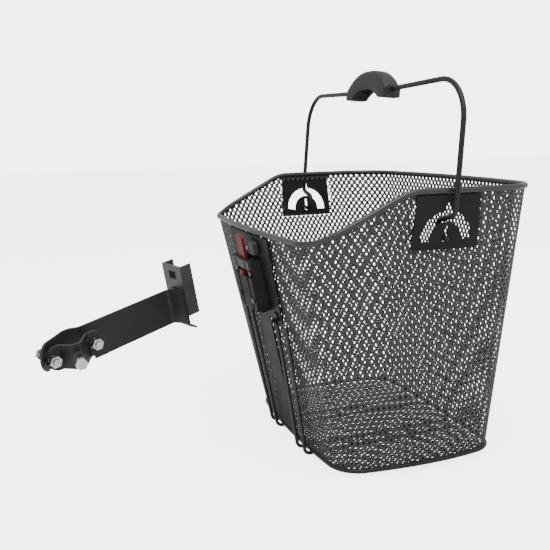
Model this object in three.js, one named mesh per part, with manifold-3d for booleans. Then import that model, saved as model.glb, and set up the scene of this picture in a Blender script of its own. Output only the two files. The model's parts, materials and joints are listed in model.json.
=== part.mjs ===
// Handlebar basket with a quick-release stem bracket.
// Millimetres, +Z up, +Y towards the front wheel, the rider at -Y.
// The origin is the middle of the mesh base's upper face, on which the shopping stands.

import * as THREE from 'three';
import { mergeVertices } from 'three/addons/utils/BufferGeometryUtils.js';
import Module from 'manifold-3d';

const wasm = await Module();
wasm.setup();

// ---------------------------------------------------------------- driving dimensions

const DEG = Math.PI / 180;
const GAP = 0.3;                    // left between pieces that touch

// Plan outlines of the two wire rings: corner-arc centres, radii, and how far each side
// turns away from square where it meets a corner arc, which gives the sides their bulge.
const RIM_PLAN = {
  backX: 121.4, backY: -99.6, backRadius: 36.1,
  frontX: 119.4, frontY: 51.9, frontRadius: 47.7,
  backTurn: 4.4 * DEG, sideBackTurn: 9.3 * DEG, sideFrontTurn: -2.2 * DEG, frontTurn: 9.3 * DEG,
};
const BASE_PLAN = {
  backX: 89, backY: -58.4, backRadius: 31.7,
  frontX: 93, frontY: 61.6, frontRadius: 28.5,
  backTurn: 5.6 * DEG, sideBackTurn: 7.9 * DEG, sideFrontTurn: -9.6 * DEG, frontTurn: 2.9 * DEG,
};
const BASE_FRONT_NORMAL = 80.4 * DEG;

const RIM_HIGH = 279.2;             // rim wire centre along the front half
const RIM_LOW = 234.7;              // and along the back edge
const RAMP_BACK = -130.7;           // the rim climbs between these two places
const RAMP_FRONT = -43.4;
const RAMP_SOFTNESS = 0.12;         // share of the climb taken by each rounded end

const SHEET = 1.2;                  // expanded metal
const BASE_SHEET = 0.8;
const RIM_WIRE_RADIUS = 2.9;
const BASE_WIRE_RADIUS = 2.5;
const BASE_WIRE_Z = 2.5;            // centre of the base frame wire
const BASE_SHEET_CLEAR = 2.9;       // base sheet edge inside the wire's centreline

const SUPPORT_RADIUS = 2;
const SUPPORT_AT_BASE = [-50.5, -31.5, 31.5, 50.5];
const SUPPORT_SPREAD = 1.3;         // how much wider they stand at their top ends
const SUPPORT_FRONT_Y = 90;
const SUPPORT_BEND = 6.5;
const SUPPORT_OFF_WIRE = 2.6;       // from the wall's outer side to the wire, at the base

const PLATE_THICK = 1.5;
const PLATE_HALF_TOP = 32;
const PLATE_HALF_BOTTOM = 34;
const PLATE_ABOVE_PIVOT = 40.2;
const PLATE_BELOW_PIVOT = 9.8;
const PLATE_CORNER = 3;
const PIVOT_Y = -6.3;
const PIVOT_Z = 236.1;
const SLOT_INNER = 15.6;
const SLOT_OUTER = 26;
const SLOT_FOOT = 2;                // the slot's ends reach this far below the pivot
const NOTCH_HALF = 3;
const NOTCH_TOP = 33;
const KEYHOLE_RADIUS = 3.1;
const KEYHOLE_SLIT_HALF = 1.5;
const KEYHOLE_TOP = 12;
const WINDOW_HALF = 30.5;           // opening in the wall behind each handle plate
const WINDOW_ABOVE = 37;
const WINDOW_BELOW = 7.5;

const HANDLE_WIRE_RADIUS = 2.5;
const HANDLE_TILT = 4.5 * DEG;      // the handle leans a little forward at rest
const HANDLE_SHOULDER = 141.4;      // height of the bar above the pivots, at its shoulders
const HANDLE_BAR = 138.8;           // and where it enters the grip
const HANDLE_FOOT_X = 174.5;
const HANDLE_TOP_X = 172.5;
const HANDLE_SHOULDER_RADIUS = 40.8;
const HOOK_X = 149;                 // the wire's inner leg, inside the basket
const HOOK_RISE = 18.7;             // where it crosses the plate's slot
const HOOK_END_X = 166.5;
const HOOK_BEND = 5;
const GRIP_HALF = 44;
const GRIP_FOOT_HALF = 30;          // the flat feet start here
const GRIP_WIDTH = 20;
const GRIP_EDGE = 3;
const GRIP_RISE = 10.5;             // arch of the wire inside the grip
const GRIP_TOP_MIDDLE = 21;
const GRIP_TOP_END = 4;
const GRIP_ROUNDNESS = 2.6;         // how late the arch's top falls away
const GRIP_BOTTOM_MIDDLE = 2;
const GRIP_BOTTOM_END = -8.5;

// Receiver, in its own frame: x across, y into the basket, z up along the back wall, with the
// origin in the middle of the wall's sheet.
const RECEIVER_Z = 179.5;
const BACKING_HALF_TOP = 62;
const BACKING_HALF_BOTTOM = 57;
const BACKING_TOP = 52.6;
const BACKING_BOTTOM = -36;
const BACKING_THICK = 1.5;
const HOUSING_HALF = 29;
const HOUSING_TOP = 27.9;
const HOUSING_BOTTOM = -27.5;
const HOUSING_FACE = 12.9;          // outer face of the moulded body
const COVER_FACE = 16;              // outer face of the band and of the body's lower part
const BAND_BOTTOM = 18.7;
const LOWER_FACE_TOP = 10.4;
const SIDE_WALL = 2.5;
const WELL_HALF = 10.6;             // well that the lever swings in
const WELL_SKIN = 0.4;
const FLANGE_SLOT_HALF = 2.1;
const FLANGE_SLOT_DEEP = 4.6;       // distance of the slots' bottoms from the wall
const FLANGE_SLOT_TOP = 26.7;
const SCREW_X = 22;
const SCREW_LOW = -14.5;
const SCREW_HIGH = 14;
const SCREW_RADIUS = 1.8;
const SCREW_HEAD_RADIUS = 3.5;
const SCREW_HEAD = 1.8;
const SCREW_INSIDE = 8;             // the shank reaches this far into the basket
const CLAMP_PLATE_HALF = 29;
const CLAMP_PLATE_THICK = 2;
const CLAMP_PLATE_LOW = -24;
const CLAMP_PLATE_HIGH = 22;
const NUT_FLATS = 7;
const NUT_THICK = 3;

const LEVER_HALF = 10;
const LEVER_THICK = 3;
const LEVER_FACE = 12.3;            // outer face of the lever's blade
const LEVER_TOP = 53.5;
const LEVER_PIVOT_Z = -20;
const LEVER_PIVOT_OUT = 8;
const LEVER_EYE_RADIUS = 3.6;
const PIN_RADIUS = 1.5;
const PIN_HALF = 13;
const LEVER_TIP_FLATNESS = 0.4;     // height of the lever's rounded tip over its half width
const NOSE_HALF = 4.7;
const NOSE_Z = 13.4;
const NOSE_HEIGHT = 4.6;
const NOSE_TIP = 17.2;

const SPRING = { low: -10, middle: 8, high: 24, lift: 2, thick: 0.5, half: 4 };
const BOSS = { x0: 13.5, x1: 34, z0: 33.5, z1: 47.5, corner: 3.5, face: 9 };

const STRAP_HALF = 19;
const STRAP_THICK = 1.2;
const TAB = { x: 44, half: 5, low: -35, high: -26.5, thick: 1.2, lip: 6 };

// Bracket, in the receiver's frame when it is docked.
const CHANNEL_HALF = 16;
const CHANNEL_DEEP = 12.9;
const CHANNEL_TALL = 52;
const CHANNEL_SHEET = 2;
const CHANNEL_FACE = 18.5;          // outer face of the web
const CHANNEL_TOP = 23.7;
const LATCH_HOLE_HALF = 5.8;
const LATCH_HOLE_TALL = 8.6;
const TONGUE_HALF = 10;
const TONGUE_DROP = 12;
const TONGUE_FOOT = 10;              // reach of its bent foot
const TONGUE_FOOT_FALL = 5.5;

const ARM_TOP = -23.6;              // below the channel's top edge
const ARM_TALL = 36;
const ARM_SHEET = 2.5;
const ARM_X = -2.2;                 // middle of the plate
const ARM_FLARE = 8;                // length of the part that slants to the channel's near fold
const ARM_FOOT = 19;                // width of the foot on the web
const ARM_STEP = 99;                // beyond here the plate is only as tall as the clamp
const ARM_END = 156.5;
const CLAMP_TALL = 23;
const CLAMP_SHEET = 2.5;
const BOW_X = -8.5;                 // how far the plate bows out beside the stem
const STEM_AT = 124;                // distances from the web
const SADDLE_TOP = 32;              // the saddle's bulge reaches this far
const SADDLE_FLAT = 7.9;            // length of the bulge's flat top, which the set bolt goes through
const CLAMP_REACH = 50;             // longer than anything in the clamp
const BOLT_RADIUS = 3;
const BOLT_FLATS = 9.6;
const BOLT_HEAD = 4;
const NEAR_BOLT = { out: 105.5, ear: 18.5, head: -6.8 };
const FAR_BOLT = { out: 146, ear: 17, head: -2.8 };
const NEAR_EAR_END = 94.5;
const FAR_EAR_END = 151.5;
const SET_BOLT_TURN = 20 * DEG;
const SET_BOLT_LONG = 21;

const DOCK_SWING = 21.9 * DEG;      // the bracket rests turned away from its docked place
const DOCK_RADIUS = 200;
const DOCK_TILT = 4.5 * DEG;

// ---------------------------------------------------------------- materials

const finish = (color, roughness, metalness) => () =>
  new THREE.MeshStandardMaterial({ color, roughness, metalness });
const FINISH = {
  mesh: finish(0x26262a, 0.5, 0.2),
  wire: finish(0x2c2c30, 0.42, 0.2),
  steel: finish(0x2a2a2d, 0.45, 0.2),
  moulded: finish(0x2e2e30, 0.55, 0),
  cover: finish(0x4a4a4c, 0.5, 0),
  red: finish(0x9a3a38, 0.4, 0),
  grip: finish(0x34363a, 0.48, 0),
  zinc: finish(0xc9ccd0, 0.3, 0.9),
};

// ---------------------------------------------------------------- solids

function welded(geometry) {
  const plain = geometry.clone();
  plain.deleteAttribute('normal');
  plain.deleteAttribute('uv');
  return mergeVertices(plain, 1e-4);
}

function signedVolume(geometry) {
  const { array } = geometry.attributes.position;
  const corners = geometry.index.array;
  const at = (i) => new THREE.Vector3().fromArray(array, 3 * corners[i]);
  let sum = 0;
  for (let i = 0; i < corners.length; i += 3) {
    sum += at(i).dot(at(i + 1).cross(at(i + 2))) / 6;
  }
  return sum;
}

function outward(geometry) {
  const solid = geometry.index ? geometry : welded(geometry);
  if (signedVolume(solid) < 0) {
    const corners = solid.index.array;
    for (let i = 0; i < corners.length; i += 3) {
      [corners[i], corners[i + 1]] = [corners[i + 1], corners[i]];
    }
  }
  return solid;
}

function toManifold(geometry) {
  const solid = outward(welded(geometry));
  return new wasm.Manifold(new wasm.Mesh({
    numProp: 3,
    vertProperties: new Float32Array(solid.attributes.position.array),
    triVerts: new Uint32Array(solid.index.array),
  }));
}

function fromManifold(manifold) {
  const mesh = manifold.getMesh();
  const geometry = new THREE.BufferGeometry();
  geometry.setAttribute('position', new THREE.BufferAttribute(mesh.vertProperties, 3));
  geometry.setIndex(new THREE.BufferAttribute(mesh.triVerts, 1));
  return geometry;
}

function cut(body, ...tools) {
  return fromManifold(tools.reduce((left, tool) => left.subtract(toManifold(tool)), toManifold(body)));
}

function join(...pieces) {
  return fromManifold(pieces.map(toManifold).reduce((sum, piece) => sum.add(piece)));
}

// A box from its lowest and highest corners.
function box(x0, x1, y0, y1, z0, z1) {
  const geometry = new THREE.BoxGeometry(x1 - x0, y1 - y0, z1 - z0);
  return geometry.translate((x0 + x1) / 2, (y0 + y1) / 2, (z0 + z1) / 2);
}

// A cylinder along x, y or z between two places on that axis.
function rod(axis, radius, from, to, sides = 20) {
  const geometry = new THREE.CylinderGeometry(radius, radius, to - from, sides);
  geometry.translate(0, (from + to) / 2, 0);
  if (axis === 'x') geometry.rotateZ(-Math.PI / 2);
  if (axis === 'z') geometry.rotateX(Math.PI / 2);
  return geometry;
}

// A flat shape drawn in x and z, made solid from y0 to y1.
function slabXZ(shape, y0, y1, options = {}) {
  const { bevel = 0, curveSegments = 12 } = options;
  const geometry = new THREE.ExtrudeGeometry(shape, {
    depth: y1 - y0 - 2 * bevel, curveSegments, bevelEnabled: bevel > 0,
    bevelThickness: bevel, bevelSize: bevel, bevelOffset: -bevel, bevelSegments: 3,
  });
  return geometry.translate(0, 0, bevel).rotateX(Math.PI / 2).translate(0, y1, 0);
}

// A flat shape drawn in x and y, made solid from z0 to z1.
function slabXY(shape, z0, z1, curveSegments = 12) {
  const options = { depth: z1 - z0, curveSegments, bevelEnabled: false };
  return new THREE.ExtrudeGeometry(shape, options).translate(0, 0, z0);
}

// A closed band whose sections are closed polygons with equal numbers of points.
function ringSolid(sections) {
  const rings = sections.length;
  const around = sections[0].length;
  const corners = [];
  for (let i = 0; i < rings; i += 1) {
    const next = (i + 1) % rings;
    for (let j = 0; j < around; j += 1) {
      const up = (j + 1) % around;
      const [a, b] = [i * around + j, next * around + j];
      const [c, d] = [next * around + up, i * around + up];
      corners.push(a, b, c, a, c, d);
    }
  }
  const geometry = new THREE.BufferGeometry().setFromPoints(sections.flat());
  geometry.setIndex(corners);
  return outward(geometry);
}

// A route that an extrusion follows with one section at each of its points.
class Route extends THREE.Curve {
  constructor(points) {
    super();
    this.points = points;
  }

  getPoint(t, target = new THREE.Vector3()) {
    const last = this.points.length - 1;
    const index = Math.min(Math.floor(t * last), last - 1);
    return target.lerpVectors(this.points[index], this.points[index + 1], t * last - index);
  }

  getUtoTmapping(u) {
    return u;
  }
}

function wire(points, radius, sides = 10) {
  const section = new THREE.Shape();
  section.absarc(0, 0, radius, 0, 2 * Math.PI);
  return outward(welded(new THREE.ExtrudeGeometry(section, {
    steps: points.length - 1, extrudePath: new Route(points),
    curveSegments: sides / 2, bevelEnabled: false,
  })));
}

function closedWire(points, radius, sides = 8) {
  const curve = new Route([...points, points[0]]);
  return outward(welded(new THREE.TubeGeometry(curve, points.length, radius, sides, true)));
}

// A run of straight lines whose corners are rounded to arcs.
function rounded(points, radii, segments = 5) {
  const path = [points[0].clone()];
  for (let i = 1; i < points.length - 1; i += 1) {
    const back = points[i - 1].clone().sub(points[i]).normalize();
    const ahead = points[i + 1].clone().sub(points[i]).normalize();
    const half = back.angleTo(ahead) / 2;
    const radius = Array.isArray(radii) ? radii[i - 1] : radii;
    const toCentre = back.clone().add(ahead).normalize().multiplyScalar(radius / Math.sin(half));
    const centre = points[i].clone().add(toCentre);
    const start = points[i].clone().addScaledVector(back, radius / Math.tan(half)).sub(centre);
    const turn = new THREE.Vector3().crossVectors(ahead, back).normalize();
    const sweep = Math.PI - 2 * half;
    for (let k = 0; k <= segments; k += 1) {
      path.push(start.clone().applyAxisAngle(turn, sweep * k / segments).add(centre));
    }
  }
  path.push(points[points.length - 1].clone());
  return path;
}

// A strip of sheet standing on edge: its middle line in plan, thickened and made tall.
function strip(line, thick, z0, z1) {
  const normals = line.map((point, i) => {
    const before = line[Math.max(i - 1, 0)];
    const after = line[Math.min(i + 1, line.length - 1)];
    const along = after.clone().sub(before).normalize();
    return new THREE.Vector3(-along.y, along.x, 0);
  });
  const side = (sign) =>
    line.map((point, i) => point.clone().addScaledVector(normals[i], sign * thick / 2));
  const outline = [...side(1), ...side(-1).reverse()];
  return slabXY(new THREE.Shape(outline.map((point) => new THREE.Vector2(point.x, point.y))), z0, z1);
}

// ---------------------------------------------------------------- basket surface

const BACK_STEPS = 5;
const CORNER_STEPS = 8;
const SIDE_STEPS = 12;
const FRONT_STEPS = 5;

function arcEnd(x, y, radius, angle) {
  const normal = new THREE.Vector2(Math.cos(angle), Math.sin(angle));
  return { point: new THREE.Vector2(x, y).addScaledVector(normal, radius), normal };
}

// The curve between two arc ends that leaves both of them smoothly.
function bridge(from, to) {
  const { point: p, normal: m } = from;
  const { point: q, normal: n } = to;
  const det = m.x * n.y - m.y * n.x;
  const [mp, nq] = [m.dot(p), n.dot(q)];
  const meet = new THREE.Vector2((mp * n.y - nq * m.y) / det, (m.x * nq - n.x * mp) / det);
  return new THREE.QuadraticBezierCurve(p, meet, q);
}

const mirrored = ({ point, normal }) => ({
  point: new THREE.Vector2(-point.x, point.y),
  normal: new THREE.Vector2(-normal.x, normal.y),
});

// Plan outline as a closed run of points with their outward normals, from the middle of the
// back round by +X. Every outline has the same number of points, so that they pair up.
function planOutline(plan) {
  const back = (angle) => arcEnd(plan.backX, plan.backY, plan.backRadius, angle);
  const front = (angle) => arcEnd(plan.frontX, plan.frontY, plan.frontRadius, angle);
  const backStart = -Math.PI / 2 + plan.backTurn;
  const backStop = -plan.sideBackTurn;
  const frontStart = -plan.sideFrontTurn;
  const frontStop = Math.PI / 2 - plan.frontTurn;
  const half = [];
  const addCurve = (curve, t0, t1, steps) => {
    for (let k = 0; k < steps; k += 1) half.push(curve.getPoint(t0 + (t1 - t0) * k / steps));
  };
  const addArc = (end, a0, a1) => {
    for (let k = 0; k < CORNER_STEPS; k += 1) half.push(end(a0 + (a1 - a0) * k / CORNER_STEPS).point);
  };
  addCurve(bridge(mirrored(back(backStart)), back(backStart)), 0.5, 1, BACK_STEPS);
  addArc(back, backStart, backStop);
  addCurve(bridge(back(backStop), front(frontStart)), 0, 1, SIDE_STEPS);
  addArc(front, frontStart, frontStop);
  const frontCurve = bridge(front(frontStop), mirrored(front(frontStop)));
  addCurve(frontCurve, 0, 0.5, FRONT_STEPS);
  half.push(frontCurve.getPoint(0.5));
  const other = half.slice(1, -1).reverse().map((point) => new THREE.Vector2(-point.x, point.y));
  const points = [...half, ...other];
  return points.map((point, i) => {
    const before = points[(i + points.length - 1) % points.length];
    const after = points[(i + 1) % points.length];
    const along = after.clone().sub(before).normalize();
    return { point, normal: new THREE.Vector2(along.y, -along.x) };
  });
}

// A straight climb from 0 to 1 with rounded ends.
function softRamp(t, softness) {
  if (t <= -softness) return 0;
  if (t < softness) return (t + softness) ** 2 / (4 * softness);
  if (t <= 1 - softness) return t;
  if (t < 1 + softness) return 1 - (1 + softness - t) ** 2 / (4 * softness);
  return 1;
}

const rimHeight = (y) =>
  RIM_LOW + (RIM_HIGH - RIM_LOW) * softRamp((y - RAMP_BACK) / (RAMP_FRONT - RAMP_BACK), RAMP_SOFTNESS);

const rimOutline = planOutline(RIM_PLAN);
const baseOutline = planOutline(BASE_PLAN);

const rimLine = rimOutline.map(({ point }) => new THREE.Vector3(point.x, point.y, rimHeight(point.y)));
const baseLine = baseOutline.map(({ point }) => new THREE.Vector3(point.x, point.y, BASE_WIRE_Z));

// A point of the wall: ring index, distance down from the rim or up from the base, and offset
// outwards from the middle of the sheet.
function wallPoint(i, { down = 0, up = 0, out = 0 }) {
  const top = rimLine[i];
  const bottom = baseLine[i];
  const along = top.clone().sub(bottom).normalize();
  const point = up ? bottom.clone().addScaledVector(along, up) : top.clone().addScaledVector(along, -down);
  const share = (point.z - bottom.z) / (top.z - bottom.z);
  const normal = baseOutline[i].normal.clone().lerp(rimOutline[i].normal, share).normalize();
  return point.add(new THREE.Vector3(normal.x * out, normal.y * out, 0));
}

// The wall's place and lean at the middle of the back, and beside each handle pivot.
const backLean = Math.atan2(baseLine[0].y - rimLine[0].y, RIM_LOW - BASE_WIRE_Z);
const backWallY = (z) => baseLine[0].y - Math.tan(backLean) * (z - BASE_WIRE_Z);

function sideWallAt(y, z) {
  const share = (z - BASE_WIRE_Z) / (RIM_HIGH - BASE_WIRE_Z);
  const line = rimLine.map((top, i) => baseLine[i].clone().lerp(top, share));
  const after = line.findIndex((point) => point.y > y && point.x > 0);
  const [p, q] = [line[after - 1], line[after]];
  return { x: p.x + (q.x - p.x) * (y - p.y) / (q.y - p.y), slope: (q.x - p.x) / (q.y - p.y) };
}

const pivotWall = sideWallAt(PIVOT_Y, PIVOT_Z);
const sideLean = Math.atan2(sideWallAt(PIVOT_Y, RIM_HIGH).x - pivotWall.x, RIM_HIGH - PIVOT_Z);

// ---------------------------------------------------------------- scene groups

const model = new THREE.Group();

function addNode(name, geometry, material, parent = model) {
  const mesh = new THREE.Mesh(geometry, material());
  mesh.name = name;
  parent.add(mesh);
  return mesh;
}

// Frame of each handle plate: x across the plate, y inwards, z up along the wall.
function plateGroup(side) {
  const group = new THREE.Group();
  group.position.set(side * pivotWall.x, PIVOT_Y, PIVOT_Z);
  group.rotation.set(sideLean, 0, side * (Math.PI / 2 - Math.atan(pivotWall.slope)), 'ZYX');
  return group;
}

const plateGroups = { left: plateGroup(-1), right: plateGroup(1) };

const receiver = new THREE.Group();
receiver.position.set(0, backWallY(RECEIVER_Z), RECEIVER_Z);
receiver.rotation.x = backLean;
model.add(receiver);

// ---------------------------------------------------------------- basket

function placed(geometry, group) {
  group.updateWorldMatrix(true, false);
  return geometry.clone().applyMatrix4(group.matrixWorld);
}

function makeWall() {
  const low = BASE_WIRE_RADIUS + GAP;
  const high = RIM_WIRE_RADIUS + GAP;
  const sections = rimLine.map((_, i) => [
    wallPoint(i, { up: low, out: SHEET / 2 }),
    wallPoint(i, { down: high, out: SHEET / 2 }),
    wallPoint(i, { down: high, out: -SHEET / 2 }),
    wallPoint(i, { up: low, out: -SHEET / 2 }),
  ]);
  const window = box(-WINDOW_HALF, WINDOW_HALF, -8, 8, -WINDOW_BELOW, WINDOW_ABOVE);
  const windows = Object.values(plateGroups).map((group) => placed(window, group));
  const holes = screwPlaces().map(([x, z]) =>
    placed(rod('y', SCREW_RADIUS + GAP, -6, 6, 12).translate(x, 0, z), receiver));
  return cut(ringSolid(sections), ...windows, ...holes);
}

function makeBase() {
  const inset = ({ point, normal }) => point.clone().addScaledVector(normal, -BASE_SHEET_CLEAR);
  const outline = baseOutline.map(inset);
  return slabXY(new THREE.Shape(outline), -BASE_SHEET, 0);
}

// A support wire runs back under the base, hooks round the base wire and climbs the back wall.
function makeSupport(x) {
  const z = -BASE_SHEET - GAP - SUPPORT_RADIUS;
  const topZ = RECEIVER_Z + BACKING_BOTTOM - SUPPORT_RADIUS;
  const cornerY = (at) => {
    const line = baseLine.filter((point) => point.y < 0).sort((p, q) => p.x - q.x);
    const after = line.findIndex((point) => point.x > at);
    const [p, q] = [line[after - 1], line[after]];
    return p.y + (q.y - p.y) * (at - p.x) / (q.x - p.x);
  };
  const out = SHEET / 2 + GAP + SUPPORT_RADIUS;
  const wireY = cornerY(x);
  const corner = new THREE.Vector3(x, wireY - out - SUPPORT_OFF_WIRE, z);
  const topY = backWallY(topZ) - backWallY(BASE_WIRE_Z) + wireY - out - 0.6;
  const top = new THREE.Vector3(x * SUPPORT_SPREAD, topY, topZ);
  const front = new THREE.Vector3(x, SUPPORT_FRONT_Y, z);
  return wire(rounded([front, corner, top], SUPPORT_BEND), SUPPORT_RADIUS, 8);
}

function slotHole() {
  const hole = new THREE.Path();
  const notch = Math.asin(NOTCH_HALF / SLOT_OUTER);
  hole.moveTo(SLOT_OUTER, -SLOT_FOOT);
  hole.absarc(0, 0, SLOT_OUTER, 0, Math.PI / 2 - notch);
  hole.absarc(0, NOTCH_TOP - NOTCH_HALF, NOTCH_HALF, 0, Math.PI);
  hole.absarc(0, 0, SLOT_OUTER, Math.PI / 2 + notch, Math.PI);
  hole.lineTo(-SLOT_OUTER, -SLOT_FOOT);
  hole.lineTo(-SLOT_INNER, -SLOT_FOOT);
  hole.absarc(0, 0, SLOT_INNER, Math.PI, 0, true);
  hole.lineTo(SLOT_INNER, -SLOT_FOOT);
  return hole;
}

function keyHole() {
  const hole = new THREE.Path();
  const mouth = Math.asin(KEYHOLE_SLIT_HALF / KEYHOLE_RADIUS);
  hole.absarc(0, KEYHOLE_TOP - KEYHOLE_SLIT_HALF, KEYHOLE_SLIT_HALF, 0, Math.PI);
  hole.absarc(0, 0, KEYHOLE_RADIUS, Math.PI / 2 + mouth, 5 * Math.PI / 2 - mouth);
  return hole;
}

function makeHandlePlate() {
  const shape = new THREE.Shape();
  const low = -PLATE_BELOW_PIVOT;
  shape.moveTo(PLATE_HALF_TOP, PLATE_ABOVE_PIVOT);
  shape.lineTo(-PLATE_HALF_TOP, PLATE_ABOVE_PIVOT);
  shape.lineTo(-PLATE_HALF_BOTTOM, low + PLATE_CORNER);
  shape.quadraticCurveTo(-PLATE_HALF_BOTTOM, low, -PLATE_HALF_BOTTOM + PLATE_CORNER, low);
  shape.lineTo(PLATE_HALF_BOTTOM - PLATE_CORNER, low);
  shape.quadraticCurveTo(PLATE_HALF_BOTTOM, low, PLATE_HALF_BOTTOM, low + PLATE_CORNER);
  shape.holes.push(slotHole(), keyHole());
  const outer = -(SHEET / 2 + GAP + PLATE_THICK);
  return slabXZ(shape, outer, outer + PLATE_THICK, { curveSegments: 10 });
}

// ---------------------------------------------------------------- handle

// Height of the bar's middle line above the pivots.
function barHeight(x) {
  const fromGrip = (Math.abs(x) - GRIP_HALF) / (HANDLE_TOP_X - HANDLE_SHOULDER_RADIUS - GRIP_HALF);
  if (fromGrip > 0) return HANDLE_BAR + (HANDLE_SHOULDER - HANDLE_BAR) * fromGrip;
  return HANDLE_BAR + GRIP_RISE * (1 - (x / GRIP_HALF) ** 2) ** 2;
}

function handleRoute() {
  const at = (x, h) => new THREE.Vector3(x, 0, h);
  const shoulderX = HANDLE_TOP_X - HANDLE_SHOULDER_RADIUS;
  const leg = rounded([
    at(HOOK_END_X, 0), at(HOOK_X, 0), at(HOOK_X, HOOK_RISE), at(HANDLE_FOOT_X, HOOK_RISE),
    at(HANDLE_TOP_X, HANDLE_SHOULDER), at(shoulderX - 1, HANDLE_SHOULDER),
  ], [HOOK_BEND, HOOK_BEND, HOOK_BEND + 1, HANDLE_SHOULDER_RADIUS - 1.5], 6);
  const bar = [];
  const barSteps = 12;
  for (let k = 0; k <= barSteps; k += 1) {
    const x = GRIP_HALF * (1 - k / barSteps);
    bar.push(at(x, barHeight(x)));
  }
  const half = [...leg.slice(0, -1), at(shoulderX - 12, barHeight(shoulderX - 12)), ...bar];
  const other = half.slice(0, -1).reverse().map((point) => at(-point.x, point.z));
  return [...half, ...other];
}

function gripBody() {
  const profile = new THREE.Shape();
  const steps = 16;
  const across = (k) => GRIP_HALF * (1 - 2 * k / steps);
  const fall = GRIP_TOP_MIDDLE - GRIP_TOP_END;
  const top = (x) => GRIP_TOP_MIDDLE - fall * Math.abs(x / GRIP_HALF) ** GRIP_ROUNDNESS;
  const under = (x) => (Math.abs(x) >= GRIP_FOOT_HALF ? GRIP_BOTTOM_END
    : GRIP_BOTTOM_MIDDLE - (GRIP_BOTTOM_MIDDLE - GRIP_BOTTOM_END) * (x / GRIP_FOOT_HALF) ** 2);
  profile.moveTo(GRIP_HALF, top(GRIP_HALF));
  for (let k = 1; k <= steps; k += 1) profile.lineTo(across(k), top(across(k)));
  profile.lineTo(-GRIP_HALF, GRIP_BOTTOM_END);
  for (let k = 0; k <= steps; k += 1) {
    const x = GRIP_FOOT_HALF * (2 * k / steps - 1);
    profile.lineTo(x, under(x));
  }
  profile.lineTo(GRIP_HALF, GRIP_BOTTOM_END);
  const body = slabXZ(profile, -GRIP_WIDTH / 2, GRIP_WIDTH / 2, { bevel: GRIP_EDGE });
  return body.translate(0, 0, HANDLE_BAR);
}

function makeGrip() {
  const inside = handleRoute().filter((point) => Math.abs(point.x) <= GRIP_HALF + 1);
  const first = inside[0].clone().setX(GRIP_HALF + 5);
  const last = inside[inside.length - 1].clone().setX(-GRIP_HALF - 5);
  return cut(gripBody(), wire([first, ...inside, last], HANDLE_WIRE_RADIUS + GAP, 12));
}

// ---------------------------------------------------------------- receiver

function screwPlaces() {
  return [[-SCREW_X, SCREW_LOW], [SCREW_X, SCREW_LOW], [-SCREW_X, SCREW_HIGH], [SCREW_X, SCREW_HIGH]];
}

const atLeverPivot = (solid) => solid.translate(0, -LEVER_PIVOT_OUT, LEVER_PIVOT_Z);
const backingOuter = SHEET / 2 + GAP + BACKING_THICK;
const housingInner = backingOuter + GAP;
const boltHoles = () => screwPlaces().map(([x, z]) =>
  rod('y', SCREW_RADIUS + GAP, -COVER_FACE - 5, 12, 12).translate(x, 0, z));

function makeBacking() {
  const shape = new THREE.Shape([
    new THREE.Vector2(-BACKING_HALF_BOTTOM, BACKING_BOTTOM),
    new THREE.Vector2(BACKING_HALF_BOTTOM, BACKING_BOTTOM),
    new THREE.Vector2(BACKING_HALF_TOP, BACKING_TOP),
    new THREE.Vector2(-BACKING_HALF_TOP, BACKING_TOP),
  ]);
  return cut(slabXZ(shape, -backingOuter, -backingOuter + BACKING_THICK), ...boltHoles());
}

function flangeSlots() {
  const middle = CHANNEL_HALF - CHANNEL_SHEET / 2;
  return [-middle, middle].map((x) => box(
    x - FLANGE_SLOT_HALF, x + FLANGE_SLOT_HALF, -COVER_FACE - 1, -FLANGE_SLOT_DEEP,
    HOUSING_BOTTOM - 1, FLANGE_SLOT_TOP,
  ));
}

// A raised part of the housing's face, with its lower corners cut off.
function raisedFace(z0, z1, corner, inner) {
  const shape = new THREE.Shape();
  shape.moveTo(-HOUSING_HALF, z1);
  shape.lineTo(-HOUSING_HALF, z0 + corner);
  shape.lineTo(corner - HOUSING_HALF, z0);
  shape.lineTo(HOUSING_HALF - corner, z0);
  shape.lineTo(HOUSING_HALF, z0 + corner);
  shape.lineTo(HOUSING_HALF, z1);
  return slabXZ(shape, -COVER_FACE, inner);
}

function makeBand() {
  return cut(raisedFace(BAND_BOTTOM, HOUSING_TOP, 1, -HOUSING_FACE - GAP), ...flangeSlots());
}

// The body and its thicker lower face are one moulding; the band along its top is separate.
function makeHousing() {
  const body = box(-HOUSING_HALF, HOUSING_HALF, -HOUSING_FACE, -housingInner, HOUSING_BOTTOM, HOUSING_TOP);
  const face = raisedFace(HOUSING_BOTTOM, LOWER_FACE_TOP, 6, 1 - HOUSING_FACE);
  const across = [-WELL_HALF, WELL_HALF];
  const wellZ = [HOUSING_BOTTOM + SIDE_WALL, HOUSING_TOP + 1];
  const well = box(...across, WELL_SKIN - HOUSING_FACE, 1 - housingInner, ...wellZ);
  const window = box(...across, -HOUSING_FACE - 1, 1 - HOUSING_FACE, LOWER_FACE_TOP, HOUSING_TOP + 1);
  const pinHole = atLeverPivot(rod('x', PIN_RADIUS + GAP, -PIN_HALF - GAP, PIN_HALF + GAP, 16));
  return cut(join(body, face), well, window, pinHole, ...flangeSlots(), ...boltHoles());
}

function makeScrew(x, z) {
  const face = z < 0 ? COVER_FACE : HOUSING_FACE;
  const shank = -face - SCREW_INSIDE;
  const profile = [[0, shank], [SCREW_RADIUS, shank], [SCREW_RADIUS, 0], [SCREW_HEAD_RADIUS, 0],
    [SCREW_HEAD_RADIUS, SCREW_HEAD * 0.4], [SCREW_HEAD_RADIUS * 0.7, SCREW_HEAD], [0, SCREW_HEAD]];
  const points = profile.map(([radius, along]) => new THREE.Vector2(radius, along));
  return new THREE.LatheGeometry(points, 16).rotateX(Math.PI).translate(x, -face - GAP, z);
}

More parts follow.
